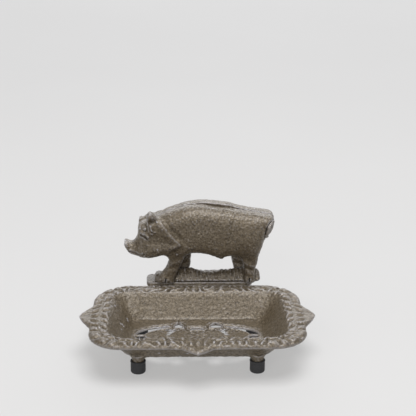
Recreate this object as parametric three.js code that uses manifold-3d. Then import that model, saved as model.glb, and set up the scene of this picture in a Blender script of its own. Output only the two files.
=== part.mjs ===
// Cast-iron soap dish with a pig figure: a shallow footed tray with a wide rim, ogee points at the
// sides and front, a pierced draining floor, and a hollow pig, cast in two halves, on a grassy mound
// that is screwed to a rear tab. Rubber caps are pushed onto the four legs.
// Units are millimetres, +Z is up, +X runs along the length and the front of the dish faces -Y.
import * as THREE from "three";
import { mergeVertices } from "three/addons/utils/BufferGeometryUtils.js";
import Module from "manifold-3d";

const wasm = await Module();
wasm.setup();

// ---------- driving dimensions ----------
const rimLength = 132; // over the rim, without the points
const rimDepth = 85;
const rimCornerRadius = 20.5;
const sideRimWidth = 11.4; // from the opening to the outer edge, at the two short sides
const frontRimWidth = 9.8; // the same at the front and the back
const rimHeight = 28.2; // crest of the rim above the table
const rimLip = 5.4; // height of the rolled outer edge, crest to underside

const pointReach = 7.8; // how far an ogee point stands out of the rim
const pointWidth = 26;
const sidePointDroop = 0.6;
const frontPointReach = 6;
const frontPointDroop = 1.6;

const floorHeight = 12.5; // top of the draining floor above the table
const floorThickness = 2.7;
const sideWallRun = 13.8; // horizontal run of the sloping wall, at the short sides
const frontWallRun = 10.9;
const wallThickness = 3.4;

const legDiameter = 7.3;
const legInsetX = 4.6; // leg axis inside the floor's edge
const legOutsetY = 2.1; // leg axis outside the floor's edge
const legShow = 1.6; // cast leg in sight between the rubber cap and the tray
const capWall = 0.85; // push-on rubber foot cap
const capBase = 2;
const capFit = 0.3; // gap between a leg and its cap, all round and at the end

const ringMarginX = 2.6; // ring of drain slots to the floor's edge, at the two ends
const ringDepthShare = 0.665; // the ring's depth as a share of the floor's
const crescentShare = 0.276; // widest part of a crescent slot, as a share of the ring's half depth
const slotWidth = 1.7;

const tabLength = 66; // rear tab that carries the figure
const tabMargin = 1; // tab beyond the mound, front and back
const tabThickness = 3;
const tabStep = 0.1; // top of the tab above the rim's crest
const tabGap = 1.6; // rim's outer edge to the tab's front edge
const tabCornerRadius = 4;

const figureLength = 97.6; // pig, snout to tail
const figureWall = 3; // thickness of the hollow body's walls
const seamGap = 0.3; // between the pig's two halves, and under the far half's feet
const seatGap = 0.1; // figure to tab
const moundOffset = 7; // the mound's centre lies this far right of the tab's
const moundDepth = 14; // at the drawn size of the figure

const screwDiameter = 4;
const screwSpacing = 30; // between the two screws that hold the mound
const screwLength = 8; // under the head
const screwHeadDiameter = 7.6;
const screwHeadHeight = 2.6;
const bodyScrewLength = 14; // under the head
const bodyScrewSink = 3.4; // depth of the pocket for its head in the far flank
const bossWall = 1.5; // metal around the head's pocket
const holeClearance = 0.4; // radial, around the screw's shank
const washerThickness = 1.1;
const washerDiameter = 7;
const washerSplit = 0.9; // gap in the spring washer
const restGap = 0.1; // between faces that bear on each other

// ---------- materials ----------
const iron = { color: 0x6f675e, roughness: 0.62, metalness: 0.55 };
const rubber = { color: 0x2c2d2e, roughness: 0.8, metalness: 0 };
const zinc = { color: 0xa3a5a4, roughness: 0.38, metalness: 0.9 };

// ---------- solids ----------
function solid(geometry) {
  const bare = geometry.clone();
  bare.deleteAttribute("normal");
  bare.deleteAttribute("uv");
  const merged = mergeVertices(bare, 1e-4);
  return new wasm.Manifold(
    new wasm.Mesh({
      numProp: 3,
      vertProperties: new Float32Array(merged.attributes.position.array),
      triVerts: new Uint32Array(merged.index.array),
    }),
  );
}

function geometryOf(body) {
  const mesh = body.getMesh();
  const geometry = new THREE.BufferGeometry();
  geometry.setAttribute("position", new THREE.BufferAttribute(mesh.vertProperties, 3));
  geometry.setIndex(new THREE.BufferAttribute(mesh.triVerts, 1));
  geometry.computeVertexNormals();
  return geometry;
}

// A closed skin over rings of equal length, between two end points. Rings turn counter-clockwise
// seen from the side that they advance to.
function loft(startPole, rings, endPole) {
  const count = rings[0].length;
  const vertices = [startPole, ...rings.flat(), endPole];
  const last = vertices.length - 1;
  const at = (ring, step) => 1 + ring * count + (step % count);
  const index = [];
  for (let step = 0; step < count; step++) {
    index.push(0, at(0, step + 1), at(0, step));
    index.push(last, at(rings.length - 1, step), at(rings.length - 1, step + 1));
    for (let ring = 0; ring + 1 < rings.length; ring++) {
      index.push(at(ring, step), at(ring, step + 1), at(ring + 1, step + 1));
      index.push(at(ring, step), at(ring + 1, step + 1), at(ring + 1, step));
    }
  }
  const geometry = new THREE.BufferGeometry().setFromPoints(vertices);
  geometry.setIndex(index);
  return geometry;
}

function uprightCylinder(radius, bottom, top, x, y, sides = 24) {
  return new THREE.CylinderGeometry(radius, radius, top - bottom, sides)
    .rotateX(Math.PI / 2)
    .translate(x, y, (bottom + top) / 2);
}

function plate(shape, bottom, top) {
  const flat = { depth: top - bottom, bevelEnabled: false, curveSegments: 6 };
  return new THREE.ExtrudeGeometry(shape, flat).translate(0, 0, bottom);
}

// ---------- tray shell ----------
const rimHalfX = rimLength / 2;
const rimHalfY = rimDepth / 2;
const openHalfX = rimHalfX - sideRimWidth;
const openHalfY = rimHalfY - frontRimWidth;
const floorHalfX = openHalfX - sideWallRun;
const floorHalfY = openHalfY - frontWallRun;
const floorUnderside = floorHeight - floorThickness;
const capHeight = floorUnderside - legShow;

// Stations along half a side, as shares of its straight length; they crowd where a point stands.
const sideStations = [0, 0.07, 0.17, 0.3, 0.45, 0.61, 0.8, 1];
const frontStations = [0, 0.035, 0.08, 0.15, 0.22, 0.29, 0.6, 1];
const cornerSteps = 6;

// Share of an ogee point's reach, at a distance along the side from its middle.
function pointShape(distance) {
  const share = Math.min(1, (2 * Math.abs(distance)) / pointWidth);
  return 1 - share ** 1.3;
}

// One side of the outline: half lengths, the direction that it faces, and its point, if any.
function side(halfOut, halfAlong, radius, facing, stations, z, point) {
  const shares = [...stations.slice(1).reverse().map((s) => -s), ...stations];
  const out = new THREE.Vector2(Math.cos(facing), Math.sin(facing));
  const along = new THREE.Vector2(-out.y, out.x);
  return shares.map((share) => {
    const distance = share * (halfAlong - radius);
    const bump = pointShape(distance) * point.weight;
    const reach = halfOut + bump * point.reach;
    return new THREE.Vector3(
      out.x * reach + along.x * distance,
      out.y * reach + along.y * distance,
      z - bump * point.droop,
    );
  });
}

function corner(centreX, centreY, radius, startAngle, z) {
  const points = [];
  for (let step = 1; step < cornerSteps; step++) {
    const angle = startAngle + (step / cornerSteps) * (Math.PI / 2);
    const x = centreX + radius * Math.cos(angle);
    const y = centreY + radius * Math.sin(angle);
    points.push(new THREE.Vector3(x, y, z));
  }
  return points;
}

// A rounded rectangle at one level; pointWeight says how much of the ogee points it follows.
function outline({ halfX, halfY, radius, z, pointWeight = 0 }) {
  const sidePoint = { weight: pointWeight, reach: pointReach, droop: sidePointDroop };
  const frontPoint = { weight: pointWeight, reach: frontPointReach, droop: frontPointDroop };
  const none = { weight: 0, reach: 0, droop: 0 };
  const coreX = halfX - radius;
  const coreY = halfY - radius;
  return [
    ...side(halfX, halfY, radius, 0, sideStations, z, sidePoint),
    ...corner(coreX, coreY, radius, 0, z),
    ...side(halfY, halfX, radius, Math.PI / 2, frontStations, z, none),
    ...corner(-coreX, coreY, radius, Math.PI / 2, z),
    ...side(halfX, halfY, radius, Math.PI, sideStations, z, sidePoint),
    ...corner(-coreX, -coreY, radius, Math.PI, z),
    ...side(halfY, halfX, radius, -Math.PI / 2, frontStations, z, frontPoint),
    ...corner(coreX, -coreY, radius, -Math.PI / 2, z),
  ];
}

// The levels run from the underside's middle out, up the outer wall, over the rim and down inside.
// inset is measured in from the rim's outer edge, as a share of the rim's width and then in mm.
function rimLevel(shareOfWidth, z, pointWeight) {
  return {
    halfX: rimHalfX - shareOfWidth * sideRimWidth,
    halfY: rimHalfY - shareOfWidth * frontRimWidth,
    radius: rimCornerRadius - shareOfWidth * frontRimWidth * 0.8,
    z,
    pointWeight,
  };
}

function floorLevel(outset, radius, z) {
  return { halfX: floorHalfX + outset, halfY: floorHalfY + outset, radius, z };
}

const floorCornerRadius = 8;
const bottomOutset = 3.2; // outer bottom edge beyond the inner floor's edge
const trayLevels = [
  floorLevel(bottomOutset, floorCornerRadius + 2, floorUnderside),
  floorLevel(bottomOutset + 1.4, floorCornerRadius + 3, floorUnderside + 0.8),
  {
    halfX: openHalfX - 2.4 + wallThickness,
    halfY: openHalfY - 1.9 + wallThickness,
    radius: 14.5,
    z: rimHeight - rimLip + 0.6,
  },
  rimLevel(0.1, rimHeight - rimLip, 0.9),
  rimLevel(0, rimHeight - rimLip * 0.55, 1),
  rimLevel(0.08, rimHeight - rimLip * 0.15, 0.95),
  rimLevel(0.48, rimHeight, 0.45),
  rimLevel(0.9, rimHeight, 0),
  rimLevel(1, rimHeight - 0.6, 0),
  {
    halfX: openHalfX - 1.8,
    halfY: openHalfY - 1.5,
    radius: 11.5,
    z: rimHeight - 3,
  },
  floorLevel(1.6, floorCornerRadius + 1.2, floorHeight + 0.9),
  floorLevel(0, floorCornerRadius, floorHeight),
];

function trayShell() {
  const rings = trayLevels.map(outline);
  const underside = new THREE.Vector3(0, 0, floorUnderside);
  const top = new THREE.Vector3(0, 0, floorHeight);
  return loft(underside, rings, top);
}

// ---------- legs and foot caps ----------
const legX = floorHalfX - legInsetX;
const legY = floorHalfY + legOutsetY;
const legPlaces = [
  { name: "front_left", x: -legX, y: -legY },
  { name: "front_right", x: legX, y: -legY },
  { name: "rear_left", x: -legX, y: legY },
  { name: "rear_right", x: legX, y: legY },
];
const legBottom = capBase + capFit;

function leg(place) {
  const top = floorUnderside + floorThickness * 0.6;
  return uprightCylinder(legDiameter / 2, legBottom, top, place.x, place.y);
}

// The boss is the conical root that blends a leg into the corner of the tray.
function legRoot(place) {
  const bottom = capHeight + capFit;
  const top = floorUnderside + floorThickness * 0.8;
  return new THREE.CylinderGeometry(legDiameter / 2 + 1.3, legDiameter / 2 + 0.3, top - bottom, 24)
    .rotateX(Math.PI / 2)
    .translate(place.x, place.y, (top + bottom) / 2);
}

function footCap() {
  const bore = legDiameter / 2 + capFit;
  const outer = bore + capWall;
  const round = 0.8;
  const profile = [
    new THREE.Vector2(0, 0),
    new THREE.Vector2(outer - round, 0),
    new THREE.Vector2(outer - round * 0.3, round * 0.3),
    new THREE.Vector2(outer, round),
    new THREE.Vector2(outer, capHeight),
    new THREE.Vector2(bore, capHeight),
    new THREE.Vector2(bore, capBase),
    new THREE.Vector2(0, capBase),
  ];
  return new THREE.LatheGeometry(profile, 24).rotateX(Math.PI / 2);
}

// ---------- draining floor ----------
const ringHalfX = floorHalfX - ringMarginX;
const ringHalfY = floorHalfY * ringDepthShare;
const innerRadius = 0.62 * ringHalfY; // of the narrow slots around the middle

function mirrored(shape, flipX, flipY) {
  const points = shape.getPoints(6).map((p) => new THREE.Vector2(p.x * flipX, p.y * flipY));
  return new THREE.Shape(points);
}

// A slot that follows the oval ring, blunt near the dish's end and fading to a tip.
function crescent() {
  const from = THREE.MathUtils.degToRad(5);
  const to = THREE.MathUtils.degToRad(61);
  const steps = 12;
  const outer = [];
  const inner = [];
  for (let step = 0; step <= steps; step++) {
    const share = step / steps;
    const angle = from + share * (to - from);
    const width = ringHalfY * (crescentShare * (1 - share) ** 0.6 + 0.035);
    outer.push(new THREE.Vector2(ringHalfX * Math.cos(angle), ringHalfY * Math.sin(angle)));
    const radial = new THREE.Vector2(Math.cos(angle) * ringHalfY, Math.sin(angle) * ringHalfX);
    radial.setLength(width);
    inner.unshift(outer[step].clone().sub(radial));
  }
  return new THREE.Shape([...outer, ...inner]);
}

// A small ogee arch between the crescents' tips.
function ogeeArch() {
  const half = 0.214 * ringHalfY;
  const middle = 0.31 * ringHalfX;
  const base = 0.75 * ringHalfY;
  const shoulder = 0.966 * ringHalfY;
  const haunch = 1.041 * ringHalfY;
  const peak = 1.193 * ringHalfY;
  const shape = new THREE.Shape();
  shape.moveTo(middle - half, base);
  shape.lineTo(middle + half, base);
  shape.quadraticCurveTo(middle + half, shoulder, middle + half * 0.4, haunch);
  shape.lineTo(middle, peak);
  shape.lineTo(middle - half * 0.4, haunch);
  shape.quadraticCurveTo(middle - half, shoulder, middle - half, base);
  return shape;
}

// A narrow slot bent on an arc around the middle of the floor.
function arcSlot(radius, centreX, centreY, fromDegrees, toDegrees) {
  const from = THREE.MathUtils.degToRad(fromDegrees);
  const to = THREE.MathUtils.degToRad(toDegrees);
  const shape = new THREE.Shape();
  shape.absarc(centreX, centreY, radius + slotWidth / 2, from, to, false);
  shape.absarc(centreX, centreY, radius - slotWidth / 2, to, from, true);
  shape.closePath();
  return shape;
}

function drainShapes() {
  const sideSlot = arcSlot(innerRadius, 0.22 * ringHalfX, 0, 24, 62);
  const quarter = [crescent(), ogeeArch(), sideSlot];
  const shapes = [];
  for (const flipX of [1, -1]) {
    for (const flipY of [1, -1]) {
      quarter.forEach((shape) => shapes.push(mirrored(shape, flipX, flipY)));
    }
  }
  const bow = arcSlot(innerRadius, 0, 0, 62, 118);
  shapes.push(bow, mirrored(bow, 1, -1));
  return shapes;
}

// ---------- rear tab ----------
// The figure is drawn at its own size and scaled about its seat to figureLength.
const drawnLength = 97.6;
const figureScale = figureLength / drawnLength;
const tabDepth = moundDepth * figureScale + 2 * tabMargin;
const tabTop = rimHeight + tabStep;
const tabUnderside = tabTop - tabThickness;
const tabFront = rimHalfY + tabGap;
const tabBack = tabFront + tabDepth;
const figureY = (tabFront + tabBack) / 2;

function tab() {
  const half = tabLength / 2;
  const shape = new THREE.Shape();
  shape.moveTo(-half, tabFront);
  shape.lineTo(half, tabFront);
  shape.lineTo(half, tabBack - tabCornerRadius);
  shape.absarc(half - tabCornerRadius, tabBack - tabCornerRadius, tabCornerRadius, 0, Math.PI / 2);
  shape.absarc(
    -half + tabCornerRadius,
    tabBack - tabCornerRadius,
    tabCornerRadius,
    Math.PI / 2,
    Math.PI,
  );
  return plate(shape, tabUnderside, tabTop);
}

// The web under the tab's front edge that joins it to the rim.
function tabWeb() {
  const half = tabLength / 2 - 1;
  const front = rimHalfY - frontRimWidth * 0.3;
  const back = tabFront + 3;
  const bottom = rimHeight - rimLip * 0.8;
  const top = tabUnderside + 0.8;
  const depth = back - front;
  return new THREE.BoxGeometry(2 * half, depth, top - bottom).translate(
    0,
    (front + back) / 2,
    (bottom + top) / 2,
  );
}

const moundX = moundOffset * figureScale;
const screwPlaces = [
  { name: "left", x: moundX - screwSpacing / 2, y: figureY },
  { name: "right", x: moundX + screwSpacing / 2, y: figureY },
];
const washerTop = tabUnderside - restGap;
const headTop = washerTop - washerThickness - restGap;
const screwTip = headTop + screwLength;
const boreRadius = screwDiameter / 2 + holeClearance;

function buildTray() {
  let body = solid(trayShell());
  [tab(), tabWeb()].forEach((piece) => (body = body.add(solid(piece))));
  legPlaces.forEach((place) => {
    body = body.add(solid(leg(place))).add(solid(legRoot(place)));
  });
  drainShapes().forEach((shape) => {
    body = body.subtract(solid(plate(shape, floorUnderside - 1, floorHeight + 1)));
  });
  screwPlaces.forEach((place) => {
    const bore = uprightCylinder(boreRadius, tabUnderside - 3, tabTop + 1, place.x, place.y);
    body = body.subtract(solid(bore));
  });
  return geometryOf(body);
}

// ---------- pig figure ----------
// Its drawing has x from the tab's middle, y from the seam's plane and z from the seat.

// A rounded bar through stations of [position, centre and half size on one cross axis, centre and
// half size on the other]. squareness 2 gives round sections, more gives boxier ones.
function rounded(axis, stations, { squareness = 2, rings = 12, sides = 16 } = {}) {
  const place = { x: (s, u, v) => [s, v, u], z: (s, u, v) => [u, v, s] }[axis];
  const turn = axis === "x" ? -1 : 1;
  const first = new THREE.CatmullRomCurve3(
    stations.map(([s, centre, half]) => new THREE.Vector3(s, centre, half)),
  );
  const second = new THREE.CatmullRomCurve3(
    stations.map(([s, , , centre, half]) => new THREE.Vector3(s, centre, half)),
  );
  const skin = [];
  for (let ring = 0; ring <= rings; ring++) {
    const share = ring / rings;
    const a = first.getPoint(share);
    const b = second.getPoint(share);
    const points = [];
    for (let step = 0; step < sides; step++) {
      const angle = (turn * step * 2 * Math.PI) / sides;
      const bulge = (value) => Math.sign(value) * Math.abs(value) ** (2 / squareness);
      const u = a.y + a.z * bulge(Math.cos(angle));
      const v = b.y + b.z * bulge(Math.sin(angle));
      points.push(new THREE.Vector3(...place(a.x, u, v)));
    }
    skin.push(points);
  }
  const middle = (points) =>
    points.reduce((sum, p) => sum.add(p), new THREE.Vector3()).divideScalar(points.length);
  return loft(middle(skin[0]), skin, middle(skin[skin.length - 1]));
}

const trunkStations = [
  [-31, 36, 4, 0, 3],
  [-27, 34, 10.5, 0, 9.5],
  [-19, 33.2, 15.6, 0, 12],
  [-8, 34.9, 17.4, 0, 12.8],
  [4, 35.5, 18, 0, 13],
  [16, 34.3, 18, 0, 13],
  [28, 33.6, 16.6, 0, 13],
  [37, 33.9, 14.2, 0, 12.6],
  [43, 36.4, 10.6, 0, 11.4],
  [47, 39.6, 6.6, 0, 9],
  [49, 41.4, 3.6, 0, 6],
];
const headStations = [
  [-41.5, 22.5, 5.2, 0, 4.4],
  [-38.5, 24.6, 8.6, 0, 7],
  [-34, 28.5, 13, 0, 9.2],
  [-28, 29.5, 14.2, 0, 10.6],
  [-21, 30.5, 12.5, 0, 10.4],
  [-15, 32, 7, 0, 6],
];
const snoutStations = [
  [-46.4, 23.4, 4.4, 0, 4.6],
  [-45.4, 23, 5.2, 0, 5.3],
  [-42.5, 22, 5.4, 0, 5.2],
  [-36, 21.6, 6.2, 0, 6.6],
];
const legSections = {
  nearFront: [
    [-0.5, -20.2, 5.4, -4.4, 3.6],
    [3.5, -19.6, 5.2, -4.6, 3.6],
    [9.5, -15.8, 4.4, -5, 4.2],
    [17, -13.2, 5.4, -5.4, 5],
    [25, -12, 8, -5.6, 6],
  ],
  farFront: [
    [-0.5, -10, 4.8, 4.6, 3.6],
    [3.5, -9.6, 4.6, 4.6, 3.6],
    [9.5, -8.6, 4.2, 5, 4.2],
    [17, -8.6, 5, 5.4, 5],
    [25, -9, 7, 5.6, 6],
  ],
  nearHind: [
    [-0.5, 35.6, 4.6, -4.4, 3.6],
    [4, 36, 4.3, -4.6, 3.6],
    [10, 36.2, 4.1, -5, 4],
    [16, 35.6, 4.8, -5.4, 5],
    [25, 34.6, 7, -5.6, 6],
  ],
  farHind: [
    [-0.5, 27.4, 4.6, 4.6, 3.6],
    [4, 27.4, 4.4, 4.6, 3.6],
    [10, 27, 4.1, 5, 4],
    [16, 27.4, 5, 5.4, 5],
    [25, 29, 7, 5.6, 6],
  ],
};

// An ear stands at (x, y) on the side of the head, with its tip at the height z.
function ear(x, y, tip) {
  const stations = [
    [tip - 12, x + 1.2, 3.6, y, 1.4],
    [tip - 7, x + 1, 4.2, y, 1.7],
    [tip - 3, x + 0.4, 3.4, y, 1.6],
    [tip, x, 1.2, y, 0.9],
  ];
  return rounded("z", stations, { rings: 6, sides: 12 });
}

// The tail lies in one curl against the near side of the rump.
function tail() {
  const path = new THREE.CatmullRomCurve3([
    new THREE.Vector3(45, -1.8, 42.5),
    new THREE.Vector3(49, -1.8, 42.6),
    new THREE.Vector3(49.8, -1.8, 38.2),
    new THREE.Vector3(47.4, -2, 35),
    new THREE.Vector3(44, -1.8, 33),
  ]);
  const section = new THREE.Shape();
  section.absarc(0, 0, 1.3, 0, 2 * Math.PI, false);
  const along = { steps: 16, extrudePath: path, curveSegments: 8, bevelEnabled: false };
  return new THREE.ExtrudeGeometry(section, along);
}

const moundLength = 66.4;
const moundTop = [
  [33.2, 5.4],
  [26, 7],
  [18, 6.8],
  [13.6, 5.6],
  [9.6, 6.2],
  [2, 4.3],
  [-5, 5],
  [-11, 7],
  [-20, 6.5],
  [-29.5, 5.6],
  [-33.2, 2],
];

// The grassy mound's side view has an uneven top and is closed below the seat. grow makes it
// larger all round, to cut what stands on it.
function mound(grow = 0) {
  const half = moundLength / 2;
  const shape = new THREE.Shape();
  shape.moveTo(-half, -2);
  shape.lineTo(half, -2);
  const [first, ...rest] = moundTop.map(([x, z]) => new THREE.Vector2(x, z));
  shape.lineTo(first.x, first.y);
  shape.splineThru(rest);
  const bevel = 1.2;
  const depth = moundDepth - 2 * bevel + 2 * grow;
  const body = {
    depth,
    bevelEnabled: true,
    bevelThickness: bevel,
    bevelSize: bevel,
    bevelOffset: grow - bevel,
    bevelSegments: 2,
    curveSegments: 2,
  };
  return new THREE.ExtrudeGeometry(shape, body)
    .translate(moundOffset, 0, -depth / 2)
    .rotateX(Math.PI / 2);
}

const seat = tabTop + seatGap;
const figurePlace = new THREE.Matrix4()
  .makeTranslation(0, figureY, seat)
  .scale(new THREE.Vector3(figureScale, figureScale, figureScale));

function placed(geometry) {
  return solid(geometry.applyMatrix4(figurePlace));
}

function joined(solids) {
  return solids.reduce((sum, piece) => sum.add(piece));
}

// The body's hollow keeps figureWall to the trunk's skin, in the drawing's own scale.
function hollow() {
  const wall = figureWall / figureScale;
  const stations = trunkStations
    .filter(([, , half]) => half > 2.6 * wall)
    .map(([x, centre, half, middle, width]) => [x, centre, half - wall, middle, width - wall]);
  return rounded("x", stations, { rings: 10, sides: 16, squareness: 3 });
}

// A block that keeps one side of the seam: -1 is the near half, 1 the far half.
function halfSpace(sign) {
  const size = 3 * figureLength;
  const offset = (sign * (size + seamGap)) / 2;
  return solid(new THREE.BoxGeometry(size, size, size).translate(0, figureY + offset, seat));
}

function belowSeat() {
  const height = 40;
  const size = 3 * figureLength;
  const slab = new THREE.BoxGeometry(size, size, height);
  return solid(slab.translate(0, figureY, seat - height / 2));
}

function acrossCylinder(radius, from, to, x, z, sides = 24) {
  return new THREE.CylinderGeometry(radius, radius, to - from, sides)
    .translate(0, (from + to) / 2, 0)
    .translate(x, 0, z);
}

// The body screw runs across the pig from the far flank and threads into a boss in the near half.
const trunkHalfWidth = 13 * figureScale;
const bodyScrewX = 8 * figureScale;
const bodyScrewZ = seat + 35 * figureScale;
const bodyHeadSeat = figureY + trunkHalfWidth - bodyScrewSink;
const bodyScrewTip = bodyHeadSeat + restGap - bodyScrewLength;

const pocketRadius = screwHeadDiameter / 2 + holeClearance;

function boss(from, to) {
  return solid(acrossCylinder(pocketRadius + bossWall, from, to, bodyScrewX, bodyScrewZ));
}

function buildFigureHalves() {
  const skin = joined([
    placed(rounded("x", trunkStations, { rings: 16, sides: 24, squareness: 3.2 })),
    placed(rounded("x", headStations, { rings: 10, sides: 20, squareness: 2.4 })),
    placed(rounded("x", snoutStations, { rings: 6, sides: 16, squareness: 2.4 })),
  ]);
  const legs = (...names) =>
    names.map((name) => placed(rounded("z", legSections[name], { rings: 8 })));
  const nearExtras = [...legs("nearFront", "nearHind"), placed(ear(-30.2, -6.4, 47.4))];
  const farExtras = [...legs("farFront", "farHind"), placed(ear(-34, 6.4, 41))];
  const cavity = placed(hollow());
  const bore = solid(
    acrossCylinder(boreRadius, bodyScrewTip - holeClearance, bodyHeadSeat + 9, bodyScrewX, bodyScrewZ),
  );
  const pocket = solid(
    acrossCylinder(pocketRadius, bodyHeadSeat, bodyHeadSeat + 9, bodyScrewX, bodyScrewZ),
  );
  const nearWall = figureY - trunkHalfWidth + figureWall / 2;
  const farWall = figureY + trunkHalfWidth - figureWall / 2;
  let near = joined([skin, ...nearExtras]).intersect(halfSpace(-1)).subtract(cavity);
  near = near.add(boss(nearWall, figureY - seamGap / 2)).subtract(bore);
  near = joined([near, placed(tail()), placed(mound())]).subtract(belowSeat());
  screwPlaces.forEach((place) => (near = near.subtract(solid(figureHole(place)))));
  let far = joined([skin, ...farExtras]).intersect(halfSpace(1)).subtract(cavity);
  far = far.add(boss(figureY + seamGap / 2, farWall)).subtract(bore).subtract(pocket);
  far = far.subtract(placed(mound(seamGap))).subtract(belowSeat());
  return { near: geometryOf(near), far: geometryOf(far) };
}

function figureHole(place) {
  const depth = screwTip - tabTop + holeClearance;
  return uprightCylinder(boreRadius, tabTop - 1, tabTop + depth, place.x, place.y);
}

// ---------- fasteners ----------
function screw(length) {
  const head = screwHeadDiameter / 2;
  const shank = screwDiameter / 2;
  const crown = 0.7;
  const profile = [
    new THREE.Vector2(0, -screwHeadHeight),
    new THREE.Vector2(head - 1.2, -screwHeadHeight),
    new THREE.Vector2(head, -screwHeadHeight + crown),
    new THREE.Vector2(head, 0),
    new THREE.Vector2(shank, 0),
    new THREE.Vector2(shank, length - 0.6),
    new THREE.Vector2(shank - 0.6, length),
    new THREE.Vector2(0, length),
  ];
  const body = solid(new THREE.LatheGeometry(profile, 20).rotateX(Math.PI / 2));
  return geometryOf(body.subtract(recessBlade(0)).subtract(recessBlade(Math.PI / 2)));
}

// One blade of the head's cross recess.
function recessBlade(turn) {
  const depth = 1.5;
  const blade = new THREE.BoxGeometry(4, 0.9, 2 * depth).rotateZ(turn);
  return solid(blade.translate(0, 0, -screwHeadHeight));
}

function springWasher() {
  const inner = screwDiameter / 2 + holeClearance;
  const ring = new THREE.Shape();
  const half = washerSplit / washerDiameter;
  ring.absarc(0, 0, washerDiameter / 2, half, 2 * Math.PI - half, false);
  ring.absarc(0, 0, inner, 2 * Math.PI - half, half, true);
  ring.closePath();
  const flat = { depth: washerThickness, bevelEnabled: false, curveSegments: 14 };
  return new THREE.ExtrudeGeometry(ring, flat);
}

// ---------- assembly ----------
const assembly = new THREE.Group();

function addPiece(name, geometry, finish, x = 0, y = 0, z = 0) {
  const mesh = new THREE.Mesh(geometry, new THREE.MeshStandardMaterial(finish));
  mesh.name = name;
  mesh.position.set(x, y, z);
  assembly.add(mesh);
  return mesh;
}

addPiece("tray", buildTray(), iron);
const figure = buildFigureHalves();
addPiece("pig_near_half", figure.near, iron);
addPiece("pig_far_half", figure.far, iron);
legPlaces.forEach(({ name, x, y }) => addPiece("foot_cap_" + name, footCap(), rubber, x, y, 0));
screwPlaces.forEach(({ name, x, y }) => {
  addPiece("mound_screw_" + name, screw(screwLength), zinc, x, y, headTop);
  addPiece("spring_washer_" + name, springWasher(), zinc, x, y, washerTop - washerThickness);
});

const bodyScrew = addPiece("body_screw", screw(bodyScrewLength), zinc, bodyScrewX, 0, bodyScrewZ);
bodyScrew.position.y = bodyHeadSeat + restGap;
bodyScrew.rotation.x = Math.PI / 2;

// The origin is the middle of the assembly's bounding box, on the table.
assembly.updateMatrixWorld(true);
const box = new THREE.Box3().setFromObject(assembly);
const middle = box.getCenter(new THREE.Vector3());
const origin = new THREE.Vector3(middle.x, middle.y, box.min.z);
assembly.children.forEach((mesh) => mesh.position.sub(origin));

export default assembly;
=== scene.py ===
"""Cast-iron soap dish with a pig figure: detailed castings, rubber caps and steel fasteners.

The castings are sculpted as distance fields in millimetres and meshed on a grid. Their drawing has
x and z as in the CAD frame and y from the middle of the tray; metres() takes a point to the frame.
"""

import math

import bpy
import numpy as np
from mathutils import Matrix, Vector


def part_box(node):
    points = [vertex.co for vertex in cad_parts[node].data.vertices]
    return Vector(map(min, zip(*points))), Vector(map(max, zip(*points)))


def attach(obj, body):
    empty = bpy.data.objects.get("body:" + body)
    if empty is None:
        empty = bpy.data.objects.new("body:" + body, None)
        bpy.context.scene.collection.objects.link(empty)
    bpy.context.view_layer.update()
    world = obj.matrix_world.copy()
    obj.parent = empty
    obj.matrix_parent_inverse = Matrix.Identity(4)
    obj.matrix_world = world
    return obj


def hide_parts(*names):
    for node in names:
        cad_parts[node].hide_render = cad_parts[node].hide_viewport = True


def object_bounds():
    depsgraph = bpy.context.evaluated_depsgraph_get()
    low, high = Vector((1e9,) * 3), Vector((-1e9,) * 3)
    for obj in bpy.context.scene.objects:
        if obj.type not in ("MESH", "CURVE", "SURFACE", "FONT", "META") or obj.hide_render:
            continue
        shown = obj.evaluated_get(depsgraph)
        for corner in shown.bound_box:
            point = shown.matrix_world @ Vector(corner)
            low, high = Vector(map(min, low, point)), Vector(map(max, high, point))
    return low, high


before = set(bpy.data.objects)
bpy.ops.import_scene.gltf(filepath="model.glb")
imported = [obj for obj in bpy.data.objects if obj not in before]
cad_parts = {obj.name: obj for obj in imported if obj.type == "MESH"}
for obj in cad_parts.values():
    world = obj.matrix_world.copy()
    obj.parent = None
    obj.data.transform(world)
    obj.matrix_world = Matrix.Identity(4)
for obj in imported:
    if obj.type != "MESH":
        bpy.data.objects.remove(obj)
cad_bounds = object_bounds()

MM = 0.001
F = np.float32


# ---------- places from the CAD boxes, in millimetres ----------
def corners_of(node):
    """The low and high corners of a CAD node's box."""
    return [np.array(corner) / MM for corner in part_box(node)]


tray_low, tray_high = corners_of("tray")
cap_low, cap_high = corners_of("foot_cap_rear_right")
front_cap_low = corners_of("foot_cap_front_right")[0]

POINT_REACH = 7.8  # of the ogee points at the ends, beyond the rim
FRONT_REACH = 6.0  # of the ogee point at the front
HALF_X = tray_high[0] - POINT_REACH
SHIFT_Y = (front_cap_low[1] + cap_high[1]) / 2  # middle of the tray in the CAD frame
HALF_Y = SHIFT_Y - FRONT_REACH - tray_low[1]
SEAT_Z = corners_of("pig_near_half")[0][2]
SEAM_Y = sum(corner[1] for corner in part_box("mound_screw_left")) / 2 / MM - SHIFT_Y
SEAM_HALF = corners_of("pig_far_half")[0][1] - SHIFT_Y - SEAM_Y  # half the gap at the pig's seam
MOUND_SCREWS = ("mound_screw_left", "mound_screw_right")
SCREW_HOLE = 2.4  # radius of the holes round the screws


def metres(points):
    """Points of the drawing in millimetres, as points of the CAD frame in metres."""
    return (points + np.array([0, SHIFT_Y, 0])) * MM


def drawn_box(node):
    """The low and high corners of a CAD node's box, in the drawing."""
    return [corner - np.array([0, SHIFT_Y, 0]) for corner in corners_of(node)]


def middle_x(node):
    low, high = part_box(node)
    return (low[0] + high[0]) / 2 / MM


# ---------- distance-field tools ----------
def smin(a, b, k):
    """The smaller of two fields, with a fillet about k wide where they meet."""
    h = np.maximum(k - np.abs(a - b), 0) / k
    return np.minimum(a, b) - h * h * (k / 4)


def smax(a, b, k):
    """The larger of two fields, with their shared edge rounded in the same way."""
    return -smin(-a, -b, k)


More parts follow.
